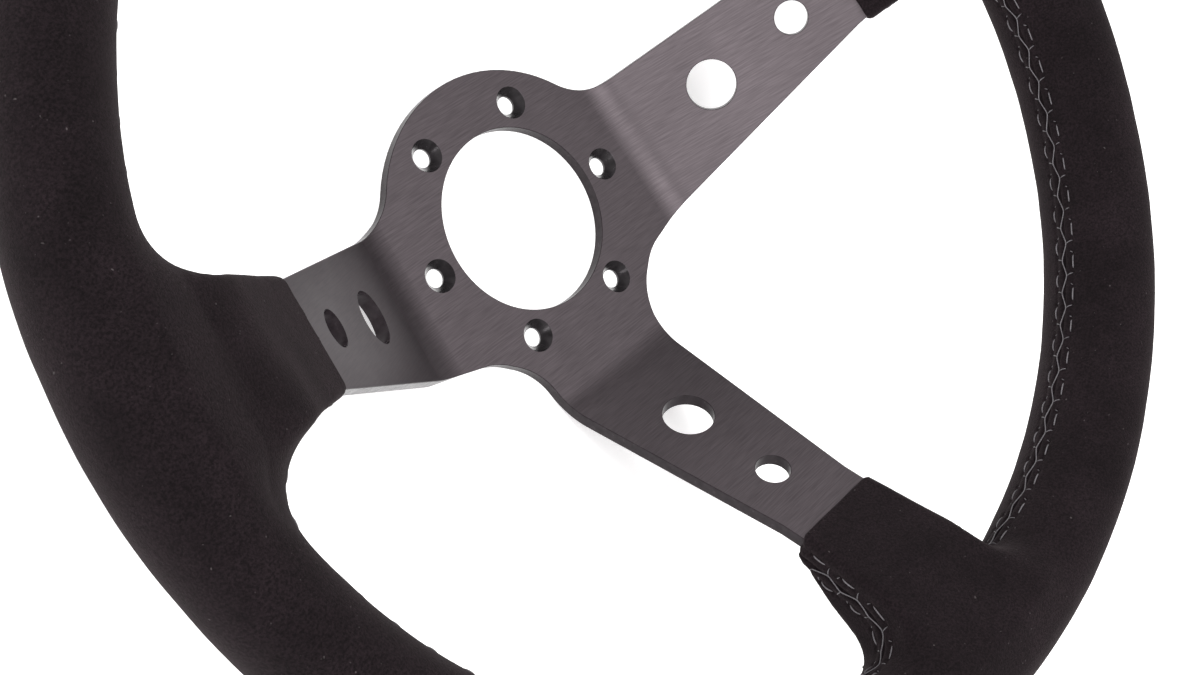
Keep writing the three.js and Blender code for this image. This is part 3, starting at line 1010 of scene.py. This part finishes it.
def ramp(nodes, links, value, *stops):
    """The value as a colour between stops of (position, colour)."""
    node = nodes.new("ShaderNodeValToRGB")
    while len(node.color_ramp.elements) < len(stops):
        node.color_ramp.elements.new(0.5)
    for element, (position, color) in zip(node.color_ramp.elements, stops):
        element.position = position
        element.color = (*color, 1)
    links.new(value, node.inputs["Fac"])
    return node.outputs["Color"]


def spread(nodes, links, value, low, high):
    """Noise, most of which lies between 0.3 and 0.7, brought to between low and high."""
    node = nodes.new("ShaderNodeMapRange")
    node.inputs["From Min"].default_value = 0.3
    node.inputs["From Max"].default_value = 0.7
    node.inputs["To Min"].default_value = low
    node.inputs["To Max"].default_value = high
    links.new(value, node.inputs["Value"])
    return node.outputs["Result"]


def blend(nodes, links, mode, a, b):
    node = nodes.new("ShaderNodeMix")
    node.data_type = "RGBA"
    node.blend_type = mode
    node.inputs["Factor"].default_value = 1.0
    for socket, value in (("A", a), ("B", b)):
        target = [i for i in node.inputs if i.name == socket and i.type == "RGBA"][0]
        links.new(value, target)
    return [o for o in node.outputs if o.type == "RGBA"][0]


def bump(nodes, links, shader, height, distance, strength):
    node = nodes.new("ShaderNodeBump")
    node.inputs["Strength"].default_value = strength
    node.inputs["Distance"].default_value = distance
    links.new(height, node.inputs["Height"])
    links.new(node.outputs["Normal"], shader.inputs["Normal"])


def anodised_metal():
    """Black anodised sheet, brushed along the wheel's X before it was bent."""
    material, nodes, links = node_material("black_anodised")
    shader = nodes["Principled BSDF"]
    shader.inputs["Metallic"].default_value = 0.85
    shader.inputs["Anisotropic"].default_value = 0.5
    tangent = nodes.new("ShaderNodeCombineXYZ")
    tangent.inputs["X"].default_value = 1.0
    links.new(tangent.outputs["Vector"], shader.inputs["Tangent"])
    fine = brushing(nodes, links, 2600, 4, 0.05)
    coarse = brushing(nodes, links, 1400, 2, 0.010)
    cloud = noise(nodes, links, 35, 3)
    streaks = ramp(nodes, links, fine, (0.3, (0.058, 0.0487, 0.0530)), (0.7, (0.086, 0.0722, 0.0785)))
    bands = ramp(nodes, links, coarse, (0.3, (0.94, 0.94, 0.94)), (0.7, (1.0, 1.0, 1.0)))
    color = blend(nodes, links, "MULTIPLY", streaks, bands)
    links.new(color, shader.inputs["Base Color"])
    links.new(spread(nodes, links, cloud, 0.34, 0.42), shader.inputs["Roughness"])
    bump(nodes, links, shader, fine, 0.00002, 0.4)
    return material


def smooth_edge(name, metallic, specular, dark, light):
    """An edge of the sheet: the same black finish, but cut smooth and not brushed."""
    material, nodes, links = node_material(name)
    shader = nodes["Principled BSDF"]
    shader.inputs["Metallic"].default_value = metallic
    shader.inputs["Specular IOR Level"].default_value = specular
    tool_marks = noise(nodes, links, 500, 3)
    color = ramp(nodes, links, tool_marks, (0.3, dark), (0.7, light))
    links.new(color, shader.inputs["Base Color"])
    links.new(spread(nodes, links, tool_marks, 0.20, 0.28), shader.inputs["Roughness"])
    return material


def cut_edge():
    return smooth_edge("black_anodised_edge", 0.0, 0.08, (0.018, 0.014, 0.016), (0.030, 0.024, 0.027))


def countersink():
    return smooth_edge("black_countersink", 0.6, 0.4, (0.032, 0.029, 0.031), (0.048, 0.043, 0.046))


def suede_leather():
    """Near-black suede: short nap with a soft sheen, brushed patches and pale specks."""
    material, nodes, links = node_material("black_suede")
    shader = nodes["Principled BSDF"]
    shader.inputs["Roughness"].default_value = 0.95
    shader.inputs["Specular IOR Level"].default_value = 0.1
    shader.inputs["Sheen Weight"].default_value = 0.04
    shader.inputs["Sheen Roughness"].default_value = 0.5
    shader.inputs["Sheen Tint"].default_value = (0.95, 0.75, 0.78, 1)
    patches = noise(nodes, links, 60, 4, roughness=0.6)
    grain = noise(nodes, links, 1500, 4, roughness=0.7)
    specks = noise(nodes, links, 900, 1)
    base = ramp(nodes, links, patches, (0.3, (0.0085, 0.0056, 0.0068)), (0.7, (0.0160, 0.0106, 0.0128)))
    mottle = ramp(nodes, links, grain, (0.38, (0.30, 0.30, 0.30)), (0.62, (0.96, 0.96, 0.96)))
    color = blend(nodes, links, "MULTIPLY", base, mottle)
    light = ramp(nodes, links, specks, (0.76, (0, 0, 0)), (0.82, (0.05, 0.045, 0.045)))
    color = blend(nodes, links, "ADD", color, light)
    links.new(color, shader.inputs["Base Color"])
    bump(nodes, links, shader, grain, 0.0003, 0.8)
    return material


def waxed_thread():
    material, nodes, links = node_material("waxed_thread")
    shader = nodes["Principled BSDF"]
    shader.inputs["Roughness"].default_value = 0.55
    shader.inputs["Sheen Weight"].default_value = 0.2
    twist = noise(nodes, links, 2600, 2)
    color = ramp(nodes, links, twist, (0.3, (0.055, 0.050, 0.056)), (0.7, (0.15, 0.138, 0.150)))
    links.new(color, shader.inputs["Base Color"])
    bump(nodes, links, shader, twist, 0.0002, 0.6)
    return material


def plain_steel():
    material, nodes, links = node_material("plain_steel")
    shader = nodes["Principled BSDF"]
    shader.inputs["Metallic"].default_value = 1.0
    marks = noise(nodes, links, 400, 4)
    color = ramp(nodes, links, marks, (0.3, (0.30, 0.30, 0.31)), (0.7, (0.5, 0.5, 0.51)))
    links.new(color, shader.inputs["Base Color"])
    links.new(spread(nodes, links, marks, 0.3, 0.5), shader.inputs["Roughness"])
    return material


def moulded_foam():
    material, nodes, links = node_material("moulded_foam")
    shader = nodes["Principled BSDF"]
    shader.inputs["Roughness"].default_value = 0.8
    skin = noise(nodes, links, 700, 4)
    color = ramp(nodes, links, skin, (0.3, (0.012, 0.012, 0.012)), (0.7, (0.03, 0.03, 0.03)))
    links.new(color, shader.inputs["Base Color"])
    bump(nodes, links, shader, skin, 0.0003, 0.6)
    return material


def studio_floor():
    material, nodes, links = node_material("studio_floor")
    shader = nodes["Principled BSDF"]
    shader.inputs["Roughness"].default_value = 0.9
    shader.inputs["Specular IOR Level"].default_value = 0.1
    tone = ramp(nodes, links, noise(nodes, links, 3, 1),
                (0.3, (0.93, 0.925, 0.925)), (0.7, (0.95, 0.945, 0.945)))
    links.new(tone, shader.inputs["Base Color"])
    shader.inputs["Emission Color"].default_value = (1.0, 0.99, 0.99, 1)
    shader.inputs["Emission Strength"].default_value = 0.42
    return material


# ---------- studio ----------

def make_camera():
    data = bpy.data.cameras.new("camera")
    data.sensor_width = 36
    data.lens = 51.5
    data.shift_x = 0.0121
    data.shift_y = 0.0206
    data.clip_start = 0.01
    camera = bpy.data.objects.new("camera", data)
    bpy.context.scene.collection.objects.link(camera)
    place = Vector((-286.2, 38.7, 417.8)) * MM
    target = Vector((-8.45, -45.2, 4.0)) * MM
    back = (place - target).normalized()
    roughly_up = Vector((0.5146, 0.8393, 0.1754))
    right = roughly_up.cross(back).normalized()
    up = back.cross(right)
    turned = Matrix((right, up, back)).transposed().to_4x4()
    camera.matrix_world = Matrix.Translation(place) @ turned
    bpy.context.scene.camera = camera


def soft_light(name, place, size, power):
    """A rectangular light, aimed at the middle of the wheel; lengths in metres."""
    data = bpy.data.lights.new(name, "AREA")
    data.shape = "RECTANGLE"
    data.size, data.size_y = size
    data.energy = power
    light = bpy.data.objects.new(name, data)
    light.location = place
    aim = Vector((0, 0, 0.04)) - Vector(place)
    light.rotation_euler = aim.to_track_quat("-Z", "Y").to_euler()
    bpy.context.scene.collection.objects.link(light)


def make_studio():
    """A white floor and world with five soft lights; lengths in metres."""
    side = 6.0
    corners = [(-side, -side, 0), (side, -side, 0), (side, side, 0), (-side, side, 0)]
    floor = new_mesh("floor", np.array(corners) / MM, [(0, 1, 2, 3)])
    floor.data.materials.append(studio_floor())
    # Name, place, size, and power in watts
    soft_light("overhead", (0.0, 0.0, 1.7), (0.8, 1.6), 20)
    soft_light("left", (-1.7, -0.2, 1.35), (1.6, 1.4), 25.5)
    soft_light("low", (-1.6, -0.2, 0.35), (0.35, 0.35), 2)
    soft_light("right", (1.2, -0.2, 1.9), (1.4, 1.6), 3)
    soft_light("far", (1.1, 1.6, 0.6), (1.4, 0.8), 5)
    world = bpy.data.worlds.new("studio")
    world.use_nodes = True
    background = world.node_tree.nodes["Background"]
    background.inputs["Color"].default_value = (1.0, 0.99, 0.99, 1)
    background.inputs["Strength"].default_value = 0.75
    scene = bpy.context.scene
    scene.world = world
    scene.view_settings.view_transform = "Standard"


# ---------- the wheel ----------

def finish_hidden_nodes():
    """The ring, tabs, rivets and foam stay as the CAD has them, inside the grip."""
    steel, foam = plain_steel(), moulded_foam()
    for name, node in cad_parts.items():
        if name.startswith(("rim_ring", "ring_tab", "rivet")):
            node.data.materials.clear()
            node.data.materials.append(steel)
        elif name == "grip_foam":
            node.data.materials.clear()
            node.data.materials.append(foam)


make_camera()
make_studio()
finish_hidden_nodes()
plate = make_plate()
settle(plate, anodised_metal(), "spoke_plate")
plate.data.materials.append(cut_edge())
plate.data.materials.append(countersink())
SEAMS = {name: Seam(name) for name in WINDOWS}
make_suede(SEAMS, suede_leather())
thread = waxed_thread()
for window, seam in SEAMS.items():
    make_stitching(window, seam, thread)
